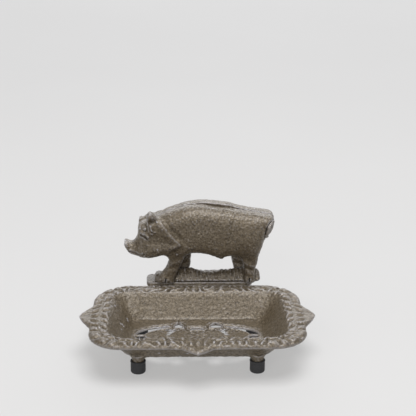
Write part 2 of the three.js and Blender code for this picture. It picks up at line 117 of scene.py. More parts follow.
def ease(value, low, high):
    """A soft step from 0 at low to 1 at high. With low above high it falls instead."""
    t = np.clip((value - low) / (high - low), 0, 1)
    return t * t * (3 - 2 * t)


def bell(value, middle, width):
    return np.exp(-(((value - middle) / width) ** 2))


def profile(x, table):
    """A value that depends on x, from rows of both."""
    return np.interp(x, [row[0] for row in table], [row[1] for row in table])


def over_z(flat):
    """A field of x and y, for every z."""
    return flat[:, :, None].astype(F)


def over_y(flat):
    """A field of x and z, for every y."""
    return flat[:, None, :].astype(F)


def slab(flat, across, half, k):
    """An outline's field as a plate that reaches half to each side, with edges rounded by k."""
    return smax(flat, across - half, k)


def rounded_rect(x, y, half_x, half_y, radius):
    """Distance to a rectangle with round corners, negative inside."""
    qx = np.abs(x) - half_x + radius
    qy = np.abs(y) - half_y + radius
    outside = np.hypot(np.maximum(qx, 0), np.maximum(qy, 0))
    return outside + np.minimum(np.maximum(qx, qy), 0) - radius


def smooth_loop(points, steps=5, closed=True):
    """Catmull-Rom curve through the points, with some steps from each to the next."""
    p = np.array(points, float)
    count = len(p)
    out = []
    for i in range(count if closed else count - 1):
        if closed:
            a, b, c, d = (p[(i + k) % count] for k in (-1, 0, 1, 2))
        else:
            a, b, c, d = (p[min(max(i + k, 0), count - 1)] for k in (-1, 0, 1, 2))
        for step in range(steps):
            t = step / steps
            bent = (2 * a - 5 * b + 4 * c - d) * t**2 + (3 * b - a - 3 * c + d) * t**3
            out.append(0.5 * (2 * b + (c - a) * t + bent))
    if not closed:
        out.append(p[-1])
    return np.array(out)


def path_distance(u, v, path):
    """Distance to an open path, and how far along it the nearest place is (0 to 1)."""
    best = np.full(u.shape, 1e9)
    along = np.zeros(u.shape)
    for i in range(len(path) - 1):
        a, e = path[i], path[i + 1] - path[i]
        du, dv = u - a[0], v - a[1]
        t = np.clip((du * e[0] + dv * e[1]) / max(e @ e, 1e-9), 0, 1)
        d = np.hypot(du - t * e[0], dv - t * e[1])
        closer = d < best
        best = np.where(closer, d, best)
        along = np.where(closer, (i + t) / (len(path) - 1), along)
    return best, along


def loop_distance(u, v, loop):
    """Signed distance to a closed loop, negative inside."""
    best = np.full(u.shape, 1e9)
    inside = np.zeros(u.shape, bool)
    for i in range(len(loop)):
        a, b = loop[i], loop[(i + 1) % len(loop)]
        e = b - a
        du, dv = u - a[0], v - a[1]
        t = np.clip((du * e[0] + dv * e[1]) / max(e @ e, 1e-9), 0, 1)
        best = np.minimum(best, (du - t * e[0]) ** 2 + (dv - t * e[1]) ** 2)
        spans = (a[1] > v) != (b[1] > v)
        if e[1] != 0:
            inside ^= spans & (u < a[0] + (v - a[1]) * e[0] / e[1])
    return np.sqrt(best) * np.where(inside, -1, 1)


def lattice_noise(points, cell, seed):
    """Smooth noise from -1 to 1 with one random value per lattice point."""
    side = 32
    table = np.random.default_rng(seed).uniform(-1, 1, (side, side, side))
    q = points / cell
    base = np.floor(q).astype(int)
    f = q - base
    f = f * f * (3 - 2 * f)
    total = 0
    for dx in (0, 1):
        for dy in (0, 1):
            for dz in (0, 1):
                weight = np.prod([np.abs(1 - d - f[:, i]) for i, d in enumerate((dx, dy, dz))], axis=0)
                corner = table[tuple(((base + (dx, dy, dz)) % side).T)]
                total = total + weight * corner
    return total


def surface_nets(field, origin, step):
    """Vertices and quads of the surface where the field is zero. Negative is inside."""
    inside = field < 0
    n = np.array(field.shape) - 1
    corners = [(i, j, k) for i in (0, 1) for j in (0, 1) for k in (0, 1)]
    count = np.zeros(n, np.uint8)
    for i, j, k in corners:
        count += inside[i : n[0] + i, j : n[1] + j, k : n[2] + k]
    cells = np.argwhere((count > 0) & (count < 8))
    values = [field[cells[:, 0] + i, cells[:, 1] + j, cells[:, 2] + k] for i, j, k in corners]
    total = np.zeros((len(cells), 3))
    hits = np.zeros(len(cells))
    for a in range(8):
        for b in range(a + 1, 8):
            ca, cb = np.array(corners[a]), np.array(corners[b])
            if np.abs(cb - ca).sum() != 1:
                continue
            crossing = (values[a] < 0) != (values[b] < 0)
            gap = np.where(crossing, values[a] - values[b], 1)
            t = np.where(crossing, values[a] / gap, 0)
            total += np.where(crossing[:, None], ca + t[:, None] * (cb - ca), 0)
            hits += crossing
    vertices = origin + step * (cells + total / hits[:, None])
    index = np.full(n, -1, np.int64)
    index[tuple(cells.T)] = np.arange(len(cells))
    quads = []
    for axis in range(3):
        second, third = (axis + 1) % 3, (axis + 2) % 3
        low = [slice(1, -1)] * 3
        high = [slice(1, -1)] * 3
        low[axis], high[axis] = slice(0, -1), slice(1, None)
        before, after = inside[tuple(low)], inside[tuple(high)]
        edges = np.argwhere(before != after)
        offset = np.ones(3, int)
        offset[axis] = 0
        edges = edges + offset
        solid_first = inside[tuple(edges.T)]
        around = []
        for back_second, back_third in ((1, 1), (0, 1), (0, 0), (1, 0)):
            cell = edges.copy()
            cell[:, second] -= back_second
            cell[:, third] -= back_third
            around.append(index[tuple(cell.T)])
        quad = np.stack(around, 1)
        quads.append(np.where(solid_first[:, None], quad, quad[:, ::-1]))
    return vertices, np.concatenate(quads)


class Grid:
    """A regular grid over a box, with broadcastable coordinates."""

    def __init__(self, low, high, step):
        self.low = np.array(low, float)
        self.step = step
        axes = [np.arange(a, b + step, step, dtype=F) for a, b in zip(low, high)]
        self.x, self.y, self.z = np.meshgrid(*axes, indexing="ij", sparse=True)

    def mesh(self, name, field, material, grain):
        """The field's surface as an object. Each row of grain is a cell, a height and a seed."""
        vertices, quads = surface_nets(field, self.low, self.step)
        mesh = bpy.data.meshes.new(name)
        mesh.from_pydata(vertices.tolist(), [], quads.tolist())
        mesh.update()
        normals = np.zeros(len(vertices) * 3, F)
        mesh.vertex_normals.foreach_get("vector", normals)
        rough = sum(height * lattice_noise(vertices, cell, seed) for cell, height, seed in grain)
        placed = metres(vertices + normals.reshape(-1, 3) * rough[:, None])
        low, high = np.array(cad_bounds[0]), np.array(cad_bounds[1])
        mesh.vertices.foreach_set("co", np.clip(placed, low, high).astype(F).ravel())
        mesh.update()
        mesh.shade_smooth()
        mesh.materials.append(material)
        piece = bpy.data.objects.new(name, mesh)
        bpy.context.scene.collection.objects.link(piece)
        return piece


# ---------- materials ----------
IRON_DARK = (0.042, 0.029, 0.015)
IRON_LIGHT = (0.218, 0.175, 0.120)
IRON_WARM = (0.105, 0.077, 0.041)
# painted shade colour, laid into the hollows
IRON_HOLLOW_SHADE = (0.020, 0.014, 0.008)
# painted highlight colour, partly edge wear, laid on ridges and edges
IRON_WEAR_AND_HIGHLIGHT = (0.46, 0.45, 0.475)


def nodes_of(name):
    """A new material, with its node tree and its shader."""
    material = bpy.data.materials.new(name)
    material.use_nodes = True
    tree = material.node_tree
    shader = tree.nodes["Principled BSDF"]
    return material, tree, shader


def noise(tree, coordinate, scale, detail, roughness=0.6):
    node = tree.nodes.new("ShaderNodeTexNoise")
    node.inputs["Scale"].default_value = scale
    node.inputs["Detail"].default_value = detail
    node.inputs["Roughness"].default_value = roughness
    tree.links.new(coordinate, node.inputs["Vector"])
    return node.outputs["Fac"]


def ramp(tree, value, stops):
    """Colours along a value, from rows of a place and a colour."""
    node = tree.nodes.new("ShaderNodeValToRGB")
    tree.links.new(value, node.inputs["Fac"])
    elements = node.color_ramp.elements
    for element, (place, colour) in zip(elements, stops):
        element.position = place
        element.color = (*colour, 1)
    for place, colour in stops[2:]:
        element = elements.new(place)
        element.color = (*colour, 1)
    return node.outputs["Color"]


def mix(tree, factor, a, b, blend="MIX"):
    node = tree.nodes.new("ShaderNodeMix")
    node.data_type = "RGBA"
    node.blend_type = blend
    for socket, value in ((node.inputs[0], factor), (node.inputs[6], a), (node.inputs[7], b)):
        if isinstance(value, bpy.types.NodeSocket):
            tree.links.new(value, socket)
        else:
            socket.default_value = value
    return node.outputs[2]


def span(tree, value, low, high, to_low, to_high):
    """The value's stretch from low to high, as one from to_low to to_high."""
    node = tree.nodes.new("ShaderNodeMapRange")
    for socket, number in zip(node.inputs[1:5], (low, high, to_low, to_high)):
        socket.default_value = number
    tree.links.new(value, node.inputs[0])
    return node.outputs[0]


def bump(tree, shader, height, distance, strength=1.0):
    node = tree.nodes.new("ShaderNodeBump")
    node.inputs["Distance"].default_value = distance
    node.inputs["Strength"].default_value = strength
    tree.links.new(height, node.inputs["Height"])
    tree.links.new(node.outputs["Normal"], shader.inputs["Normal"])


def cast_iron():
    """Speckled brown-grey iron, with painted shade in its hollows and a painted highlight, partly edge
    wear, on its edges.
    """
    material, tree, shader = nodes_of("cast_iron_finish")
    place = tree.nodes.new("ShaderNodeTexCoord").outputs["Object"]
    grain = noise(tree, place, 820, 3, 0.7)
    patches = noise(tree, place, 70, 4, 0.6)
    base = ramp(tree, grain, [(0.33, IRON_DARK), (0.67, IRON_LIGHT)])
    base = mix(tree, span(tree, patches, 0.35, 0.7, 0, 0.5), base, (*IRON_WARM, 1))
    edge = tree.nodes.new("ShaderNodeNewGeometry").outputs["Pointiness"]
    # painted shade: darker where the surface is hollow
    cavity = span(tree, edge, 0.42, 0.497, 1, 0)
    # painted highlight, partly edge wear: lighter where the surface is pointy
    wear_and_highlight = span(tree, edge, 0.505, 0.575, 0, 0.8)
    base = mix(tree, cavity, base, (*IRON_HOLLOW_SHADE, 1))
    base = mix(tree, wear_and_highlight, base, (*IRON_WEAR_AND_HIGHLIGHT, 1))
    tree.links.new(base, shader.inputs["Base Color"])
    tree.links.new(span(tree, grain, 0.3, 0.7, 0.50, 0.34), shader.inputs["Roughness"])
    shader.inputs["Metallic"].default_value = 0.3
    shader.inputs["Specular IOR Level"].default_value = 0.5
    shader.inputs["Coat Weight"].default_value = 0.35
    shader.inputs["Coat Roughness"].default_value = 0.32
    bump(tree, shader, noise(tree, place, 680, 3, 0.7), 0.0006, 0.95)
    return material


def rubber():
    """Matt black with a faint cloud."""
    material, tree, shader = nodes_of("cap_rubber_finish")
    place = tree.nodes.new("ShaderNodeTexCoord").outputs["Object"]
    cloud = noise(tree, place, 260, 4)
    base = ramp(tree, cloud, [(0.3, (0.022, 0.022, 0.024)), (0.75, (0.040, 0.040, 0.043))])
    tree.links.new(base, shader.inputs["Base Color"])
    tree.links.new(span(tree, cloud, 0.3, 0.7, 0.55, 0.7), shader.inputs["Roughness"])
    bump(tree, shader, noise(tree, place, 1800, 3), 0.00008, 0.5)
    return material


def zinc():
    """Dull plated steel."""
    material, tree, shader = nodes_of("screw_steel_finish")
    place = tree.nodes.new("ShaderNodeTexCoord").outputs["Object"]
    cloud = noise(tree, place, 700, 4)
    base = ramp(tree, cloud, [(0.3, (0.36, 0.36, 0.35)), (0.7, (0.56, 0.56, 0.55))])
    tree.links.new(base, shader.inputs["Base Color"])
    tree.links.new(span(tree, cloud, 0.3, 0.7, 0.28, 0.45), shader.inputs["Roughness"])
    shader.inputs["Metallic"].default_value = 0.95
    bump(tree, shader, noise(tree, place, 2500, 2), 0.00004, 0.4)
    return material


iron = cast_iron()
cap_rubber = rubber()
steel = zinc()

# ---------- tray ----------
RIM_X, RIM_Y = 11.4, 9.8  # width of the rim, at the ends and at the front
OPEN_X, OPEN_Y = HALF_X - RIM_X, HALF_Y - RIM_Y
FLOOR_X, FLOOR_Y = OPEN_X - 13.8, OPEN_Y - 10.9
RIM_CORNER, FLOOR_CORNER = 20.5, 8.0
OPEN_CORNER = RIM_CORNER - RIM_Y * 0.8
RIM_BEND = 16.5  # radius of the rim's middle line at a corner
CORE_X, CORE_Y = HALF_X - RIM_X / 2 - RIM_BEND, HALF_Y - RIM_Y / 2 - RIM_BEND
FRONT_PITCH, END_PITCH = 5.5, 7.6  # of the rim's leaves
END_TIP_WIDTH, FRONT_TIP_WIDTH = 29, 21
LEG_R, LEG_FOOT, LEG_TOP = 3.65, 2.35, 11.6
TAB_X, TAB_Y, TAB_CORNER = 33.0, 7.5, 3.6  # the first two are half sizes
TAB_LOW, TAB_HIGH = 25.3, 28.3
TAB_EXTRA = 1.75  # half of what the tab is longer at its right end
TAB_BACK = 0.5  # from the pig's seam to the tab's middle
WEB_Y, WEB_Z = (43.4, 3.9), (25.0, 1.15)  # middle and half size of the web from the rim to the tab
RING_A, RING_B = FLOOR_X - 2.6, FLOOR_Y * 0.665  # half sizes of the oval outside the crescent slots
TRAY_GRAIN = [(1.3, 0.13, 11), (3.4, 0.08, 12), (0.9, 0.05, 13)]


def smoothed(table, width=0.035):
    """A profile through (u, z) rows with its corners eased, as a function of u."""
    u = np.linspace(-0.4, 3, 1701)
    z = profile(u, table)
    reach = int(width / (u[1] - u[0]))
    kernel = np.hanning(2 * reach + 3)
    padded = np.pad(z, reach + 1, mode="edge")
    z = np.convolve(padded, kernel / kernel.sum(), "valid")
    return lambda value: np.interp(value, u, z)


# heights of the tray's top and underside, by u: 0 at the rim's edge, 1 at the opening, 2 at the floor
TOP_PROFILE = smoothed(
    [(-0.4, 26.6), (0, 26.9), (0.25, 27.2), (0.5, 27.4), (0.88, 27.4), (0.98, 27.0), (1.05, 26.2)]
    + [(1.13, 25.1), (1.76, 15.3), (1.86, 13.9), (1.94, 13.0), (2.0, 12.5), (3, 12.5)]
)
BOTTOM_PROFILE = smoothed(
    [(-0.4, 23.7), (0.80, 23.5), (0.89, 23.2), (0.94, 22.4)]
    + [(1.6, 11.7), (1.69, 10.4), (1.78, 9.8), (3, 9.8)]
)


def tip(distance, reach, width):
    """How far an ogee point reaches out, by the distance from its axis."""
    share = np.clip(np.abs(distance) * 2 / width, 0, 1)
    return reach * (1 - share**1.15)


def leaf_bars(phase, t, middle, reach):
    """One row of leaf-shaped bars across the rim, each split a little along its middle."""
    wave = np.cos(2 * np.pi * phase)
    bars = np.sign(wave) * np.abs(wave) ** 0.8
    split = 0.22 * np.cos(4 * np.pi * phase)
    return (0.74 * bars - split) * ease(np.abs(t - middle), reach, reach * 0.45)


def leaf_relief(s, t):
    """Two rows of leaves along the rim's ends. s counts leaves along the rim from the middle of the
    front or back, and t goes across it from the outer edge (0) to the opening (1)."""
    wander = 0.10 * np.sin(2.1 * s) + 0.08 * np.sin(5.3 * s + 1)
    outer_phase = s + 0.55 * (t - 0.3) + wander
    inner_phase = s + 0.5 + 0.75 * (t - 0.75) - wander
    outer_row = leaf_bars(outer_phase, t, 0.30, 0.25)
    inner_row = leaf_bars(inner_phase, t, 0.79, 0.22)
    return outer_row + inner_row - 0.25 * bell(t, 0.55, 0.05)


def scroll_relief(s, t, x, y):
    """Uneven scroll strokes across the rim along the front and the back, by the same s and t."""
    flat = np.stack([x.ravel(), y.ravel(), 0 * x.ravel()], 1)
    wander = lattice_noise(flat, 5.2, 41).reshape(x.shape)
    strength = lattice_noise(flat, 3.1, 42).reshape(x.shape)
    lean = 0.9 * np.sin(2 * np.pi * s / 2.7)
    strokes = np.cos(2 * np.pi * (s * 1.15 + lean * (t - 0.5) + 0.45 * wander))
    curls = np.cos(2 * np.pi * (s * 0.8 - 1.3 * (t - 0.5) + 0.7 * wander + 0.3))
    mixed = np.where(t < 0.5, strokes, curls) * (1 - bell(t, 0.5, 0.08)) - 0.2 * bell(t, 0.5, 0.06)
    return (0.66 + 0.34 * strength) * mixed * ease(np.abs(t - 0.52), 0.47, 0.30)


def ray_relief(across, inwards, count, spread):
    """Flutes that converge on a point, by the mm across it and inwards from its tip."""
    lane = across / (0.9 + np.maximum(inwards, 0) * spread)
    return np.cos(np.pi * lane * count) * ease(inwards, 0.3, 3.5)


def leaves_along(x, y):
    """How many leaves along the rim a place is, from the middle of the front or back."""
    ax, ay = np.abs(x), np.abs(y)
    bend = np.arctan2(np.maximum(ax - CORE_X, 0), np.maximum(ay - CORE_Y, 1e-6))
    s = np.where(ay <= CORE_Y, CORE_X + RIM_BEND * np.pi / 2 + (CORE_Y - ay), CORE_X + RIM_BEND * bend)
    s = np.where((ax <= CORE_X) & (ay > CORE_Y), ax, s)
    run = np.linspace(0, CORE_X + RIM_BEND * np.pi / 2 + CORE_Y, 400)
    leaves = np.cumsum(1 / (FRONT_PITCH + (END_PITCH - FRONT_PITCH) * ease(run, CORE_X, CORE_X + 22)))
    in_quarter = round(leaves[-1] * (run[1] - run[0]) * 2) / 2
    return np.interp(s, run, (leaves - leaves[0]) / (leaves[-1] - leaves[0]) * in_quarter)


def rim_carving(x, y, on_rim, end_tip, front_tip):
    """The rim's whole carving: leaves at the ends, scrolls on the long sides, rays on the points."""
    phase = leaves_along(x, y)
    on_sides = ease(np.abs(x), CORE_X + 12, CORE_X - 2)
    relief = leaf_relief(phase, on_rim) * (1 - on_sides)
    relief = relief + scroll_relief(phase, on_rim, x, y) * on_sides
    to_end = ease(end_tip, 0.5, 2.5) * ease(np.abs(x), HALF_X - 8, HALF_X - 3)
    end_rays = 0.6 * ray_relief(y, HALF_X + POINT_REACH - np.abs(x), 1.0, 0.24)
    to_front = ease(front_tip, 0.8, 2.8) * ease(-y, HALF_Y - 10, HALF_Y - 8.5)
    front_rays = 0.26 * ray_relief(x, HALF_Y + FRONT_REACH + y, 1.1, 0.17)
    front_rays = front_rays + 0.3 * scroll_relief(phase * 1.2, on_rim, x, y)
    relief = relief * (1 - to_end) + end_rays * to_end
    return relief * (1 - to_front) + front_rays * to_front


ARCH_HALF = [(11, 3.3), (13.6, 3.2), (14.6, 2.7), (15.3, 1.7), (16.2, 0.9), (17.4, 0.1), (18.4, -4)]


def drain_holes(x, y):
    """Distance to the slots of the draining floor, negative in a slot: crescents that follow an oval,
    arches whose half width depends on y (ARCH_HALF), and short arcs nearer the middle."""
    ax, ay = np.abs(x), np.abs(y)
    e = np.hypot(ax / RING_A, ay / RING_B)
    slope = np.hypot(ax / RING_A**2, ay / RING_B**2) / np.maximum(e, 1e-3)
    outside = (e - 1) / np.maximum(slope, 1e-3)
    turn = np.degrees(np.arctan2(ay / RING_B, ax / RING_A))
    share = np.clip((turn - 5) / 56, 0, 1)
    width = RING_B * (0.276 * (1 - share) ** 0.6 + 0.035)
    ends = np.maximum(5 - turn, turn - 61) * 0.42
    crescent = smax(smax(outside, -outside - width, 0.5), ends, 1.2)
    arch_x = 0.31 * RING_A
    half = profile(ay, ARCH_HALF)
    half = half * np.where(x < 0, 0.66, 0.95)  # the left one looks narrower
    arch = smax(np.abs(ax - arch_x) - half, 10.5 - ay, 0.5)
    radius = 0.62 * RING_B

    def arc(centre, low, high):
        """A slot along a circle about (centre, 0), between two angles."""
        r = np.hypot(ax - centre, ay)
        angle = np.degrees(np.arctan2(ay, ax - centre))
        ends = np.maximum(low - angle, angle - high) * math.pi / 180 * radius
        return smax(np.abs(r - radius) - 0.85, ends, 0.8)

    side = arc(0.22 * RING_A, 24, 62)
    bow = arc(0, 62, 118)
    crescent = crescent - 0.3 * ease(turn, 45, 25) + 0.45 * ease(turn, 26, 40) * (x > 0)
    return np.minimum(np.minimum(crescent, arch), np.minimum(side + 0.25, bow - 0.1))


def floor_relief(x, y, holes):
    """Carving of the floor: lips round the slots, veined leaves, a rosette and a few cut hollows."""
    lips = 0.3 * bell(holes, 1.0, 0.6)
    ax, ay = np.abs(x), np.abs(y)
    r = np.hypot(x, y * 1.15)
    angle = np.arctan2(y * 1.15, x)
    petals = 0.35 * np.cos(8 * angle) * bell(r, 4.2, 1.8) + 0.5 * bell(r, 0, 1.3)
    veins = 0.28 * np.cos(2 * np.pi * (ax * 0.8 - ay * 0.55) / 3.1) * bell(ax, 22, 6) * bell(ay, 6, 4.5)
    circle = -0.35 * bell(r, 7.0, 0.5)
    behind = -0.75 * bell(holes, 2.3, 0.7) * ease(ay, 3, 8)
    notch = -1.1 * bell(ax, 17.2, 1.1) * bell(ay, 6.2, 3.2)
    smudge = -0.9 * bell(ax, 18.6, 2.4) * bell(ay, 2.2, 1.3)
    furrow = -0.9 * bell(ay, 13.0 - 0.06 * (ax - 17), 0.7) * ease(ax, 15, 18) * ease(ax, 29, 26)
    return lips + petals + veins + circle + behind + notch + smudge + furrow


def ogee_tips(x, y):
    """How far the rim reaches out at its end points and at its front point."""
    end_tip = tip(y, POINT_REACH + 2.2, END_TIP_WIDTH)
    front_tip = np.where(y < 0, tip(x, FRONT_REACH + 0.6, FRONT_TIP_WIDTH), 0)
    return end_tip, front_tip


def rim_edge(x, y, outer, end_tip, front_tip, step):
    """The rim's outline with its points. Each point's field holds near its own axis and edge."""
    end_slope = np.hypot(1, np.gradient(end_tip, step, axis=1))
    front_slope = np.hypot(1, np.gradient(front_tip, step, axis=0))
    end_edge = np.maximum((np.abs(x) - HALF_X - end_tip) / end_slope, np.abs(y) - 14.6)
    end_edge = np.maximum(end_edge, 50 - np.abs(x))
    front_edge = np.maximum((-y - HALF_Y - front_tip) / front_slope, np.abs(x) - 13.2)
    front_edge = np.maximum(front_edge, y + 30)
    return smin(smin(outer, end_edge, 1.6), front_edge, 1.6)


def tray_legs(ax, ay, z):
    """The four legs, which widen a little above their caps."""
    leg_x, leg_y = (cap_low[0] + cap_high[0]) / 2, (cap_low[1] + cap_high[1]) / 2 - SHIFT_Y
    reach = over_z(np.hypot(ax - leg_x, ay - leg_y))
    legs = smax(reach - LEG_R - 0.1 * np.maximum(z - 8, 0), LEG_FOOT - z, 0.7)
    return np.maximum(legs, z - LEG_TOP)


def rear_tab(x2, y2, x, y, z):
    """The tab under the pig, and the web that joins it to the rear rim."""
    flat = rounded_rect(x2 - TAB_EXTRA, y2 - SEAM_Y - TAB_BACK, TAB_X + TAB_EXTRA, TAB_Y, TAB_CORNER)
    tab = smax(over_z(flat), np.abs(z - (TAB_LOW + TAB_HIGH) / 2) - (TAB_HIGH - TAB_LOW) / 2, 0.9)
    web = np.maximum(np.abs(y - WEB_Y[0]) - WEB_Y[1], np.abs(z - WEB_Z[0]) - WEB_Z[1])
    web = np.maximum(web, np.abs(x) - TAB_X + 1)
    return smin(tab, web, 0.8)


def build_tray(step):
    grid = Grid((-HALF_X - 9, -HALF_Y - 7.5, 1.2), (HALF_X + 9, HALF_Y + 19.5, 29.6), step)
    x, y, z = grid.x, grid.y, grid.z
    x2, y2 = x[:, :, 0] + 0 * y[:, :, 0], 0 * x[:, :, 0] + y[:, :, 0]
    ax, ay = np.abs(x2), np.abs(y2)
    outer = rounded_rect(x2, y2, HALF_X, HALF_Y, RIM_CORNER)
    opening = rounded_rect(x2, y2, OPEN_X, OPEN_Y, OPEN_CORNER)
    bottom = rounded_rect(x2, y2, FLOOR_X, FLOOR_Y, FLOOR_CORNER)
    on_rim = np.clip(-outer / np.maximum(opening - outer, 1e-3), 0, 1)
    on_wall = np.clip(-opening / np.maximum(bottom - opening, 1e-3), 0, 1)
    u = on_rim + on_wall

    # the points droop, and the rear rim rises where it meets the tab
    end_tip, front_tip = ogee_tips(x2, y2)
    end_weight = end_tip / POINT_REACH * ease(ax, HALF_X - 7, HALF_X + 5)
    front_weight = front_tip / FRONT_REACH * ease(-y2, HALF_Y - 6, HALF_Y + 4)
    droop = 0.6 * end_weight + 1.2 * front_weight
    beside_tab = ease(ax, 56, 46)
    rear_lift = 0.5 * ease(y2, 33, 38) * beside_tab

    # the top and the underside as heights
    holes = drain_holes(x2, y2)
    relief = rim_carving(x2, y2, on_rim, end_tip, front_tip) * ease(u, -0.02, 0.10)
    carving = relief * ease(u, 1.06, 0.93) + floor_relief(x2, y2, holes) * ease(u, 1.94, 2.0)
    top = TOP_PROFILE(u) - droop + np.clip(carving, -0.9, 0.85) + rear_lift
    under = BOTTOM_PROFILE(u) - droop * 0.5 + 1.6 * end_weight
    under = under + 1.5 * ease(holes, 4.0, 1.2) * ease(u, 1.8, 1.95)
    top_slope = np.sqrt(1 + sum(g**2 for g in np.gradient(TOP_PROFILE(u), step)))
    under_slope = np.sqrt(1 + sum(g**2 for g in np.gradient(under, step)))

    # the casting: between the two, rolled over at the rim's edge, less so beside the tab
    above = (z - over_z(top)) / over_z(top_slope)
    below = (over_z(under) - z) / over_z(under_slope)
    edge = over_z(rim_edge(x2, y2, outer, end_tip, front_tip, step))
    roll = over_z(3.4 - 2.6 * (ease(y2, 34, 39) * beside_tab))
    body = smax(smax(above, edge, roll), below, 1.4)
    body = smin(body, tray_legs(ax, ay, z), 2.4)
    body = smin(body, rear_tab(x2, y2, x, y, z), 0.7)
    body = smax(body, -over_z(holes), 0.5)
    for name in MOUND_SCREWS:
        bore = over_z(np.hypot(x2 - middle_x(name), y2 - SEAM_Y)) - SCREW_HOLE
        body = np.maximum(body, -np.maximum(bore, 24 - z))
    return grid.mesh("tray_casting", body, iron, TRAY_GRAIN)


# ---------- pig ----------
# Its drawing has x as in the frame, v from the seam's plane (the near side is negative) and w from
# the seat.
BODY_OUTLINE = [
    (-44.3, 19.8), (-45.5, 21.8), (-46.5, 24.0), (-47.1, 26.0), (-46.4, 26.9), (-44.4, 26.6),
    (-42.2, 26.1), (-40.6, 27.2), (-39.2, 29.4), (-38.4, 32.0), (-38.0, 35.2), (-37.6, 38.2),
    (-36.6, 39.8), (-33.0, 41.4), (-29.8, 43.0), (-27.1, 44.0), (-23.2, 45.7), (-19.2, 47.8),
    (-15.3, 49.2), (-11.4, 50.5), (-7.5, 51.7), (-1.6, 52.6), (4.3, 53.1), (10.1, 52.6),
    (16.0, 51.9), (21.9, 51.1), (25.8, 49.8), (31.7, 48.4), (37.6, 47.3), (43.3, 46.2),
    (48.4, 45.2), (50.3, 42.4), (49.9, 38.8), (48.2, 35.2), (45.9, 32.2), (43.6, 29.2),
    (41.6, 25.2), (39.8, 21.4), (35.0, 19.2), (29.0, 18.6), (22.6, 18.3), (19.0, 17.8),
    (16.6, 16.4), (12.7, 17.4), (7.7, 19.5), (0.5, 20.6), (-4.5, 20.4), (-10.0, 20.0),
    (-16.0, 19.6), (-20.0, 19.5), (-25.3, 18.2), (-30.5, 17.3), (-35.5, 17.6), (-41.4, 18.2),
]
# How far the body's side is from the seam's plane, by x.
HALF_WIDTH = [
    (-47.5, 5.2), (-46.2, 5.5), (-45.2, 5.5), (-44.2, 5.1), (-42.0, 5.2), (-39.6, 6.0),
    (-38.0, 7.6), (-36.0, 9.3), (-32.0, 10.4), (-25.0, 11.2), (-18.0, 11.9), (-10.0, 12.7),
    (4.0, 13.0), (26.0, 13.0), (36.0, 12.7), (42.0, 12.0), (46.0, 10.6), (50.0, 8.5),
]
NEAR_FRONT_LEG = [
    (-16.0, 27.0), (-19.4, 21.5), (-18.8, 17.6), (-18.2, 15.2), (-20.0, 10.6), (-23.6, 6.0),
    (-25.6, 3.2), (-25.9, 0.8), (-25.6, -1.2), (-15.0, -1.2), (-14.5, 1.0), (-13.6, 4.4),
    (-11.3, 9.8), (-9.3, 14.4), (-7.6, 19.0), (-6.5, 25.0), (-10.0, 29.0),
]
NEAR_HIND_LEG = [
    (30.0, 28.0), (28.6, 21.0), (29.8, 15.0), (30.9, 11.0), (31.3, 7.0), (31.2, 3.4),
    (31.0, 1.0), (31.4, -1.2), (37.4, -1.2), (38.1, 1.0), (38.2, 3.2), (38.2, 6.5),
    (38.8, 11.0), (39.9, 15.2), (40.4, 21.0), (41.6, 26.5), (39.0, 31.0),
]
FAR_FRONT_LEG = [
    (-13.5, 25.0), (-12.4, 16.0), (-12.0, 9.0), (-13.2, 4.0), (-13.6, -1.2), (-7.0, -1.2),
    (-6.4, 2.6), (-4.2, 7.2), (-3.9, 12.6), (-3.6, 17.0), (-3.0, 25.0),
]
FAR_HIND_LEG = [
    (24.0, 27.0), (22.4, 18.0), (22.9, 13.2), (24.2, 7.0), (25.4, 3.0), (25.2, -1.2),
    (31.6, -1.2), (31.8, 3.0), (31.4, 8.0), (32.0, 14.0), (34.2, 20.0), (34.0, 28.0),
]
NEAR_EAR = [
    (-31.0, 49.0), (-29.8, 49.6), (-28.6, 49.0), (-26.8, 47.0), (-25.1, 44.4), (-24.2, 41.0),
    (-24.0, 38.0), (-25.0, 36.2), (-27.2, 35.3), (-29.4, 35.5), (-31.0, 37.6), (-31.7, 40.5),
    (-32.0, 43.5), (-32.2, 46.6),
]
FAR_EAR = [
    (-37.3, 40.3), (-34.4, 40.9), (-32.6, 42.2), (-30.2, 43.0), (-28.0, 42.2), (-27.5, 37.0),
    (-29.5, 34.0), (-32.0, 32.6), (-34.6, 34.0), (-36.6, 37.4),
]
JOWL = [
    (-24.0, 48.0), (-23.2, 45.6), (-21.3, 42.7), (-18.5, 39.0), (-14.5, 34.1), (-11.0, 30.6),
    (-10.4, 28.4), (-12.4, 26.4), (-16.0, 24.2), (-18.8, 21.2), (-18.4, 16.0),
]
MOUND_TOP = [
    (40.4, -1.2), (40.4, 4.6), (36.0, 6.4), (31.0, 6.6), (27.4, 6.9), (24.5, 6.4), (20.6, 4.9),
    (16.6, 5.6), (12.4, 4.2), (9.1, 3.6), (5.6, 4.2), (2.7, 4.4), (-0.2, 5.4), (-3.8, 7.0),
    (-8.0, 7.0), (-13.0, 6.4), (-19.0, 5.2), (-24.6, 3.6), (-26.4, 1.6), (-26.4, -1.2),
]
TAIL = [
    (49.4, 41.8, -5.4), (48.2, 41.6, -8.4), (46.8, 40.0, -10.4), (46.0, 37.6, -10.9),
    (45.2, 35.2, -10.6), (44.4, 33.4, -9.6), (45.4, 32.4, -7.0),
]
HOLLOW_WALL = 3.2
LEG_OUT = 5.0  # from the seam's plane to the middle of a leg
BOSS_R, HEAD_POCKET = 5.7, 4.2  # radii of the boss round the body screw and of the pocket for its head
PIG_GRAIN = [(1.3, 0.17, 21), (3.0, 0.10, 22), (0.85, 0.06, 23)]

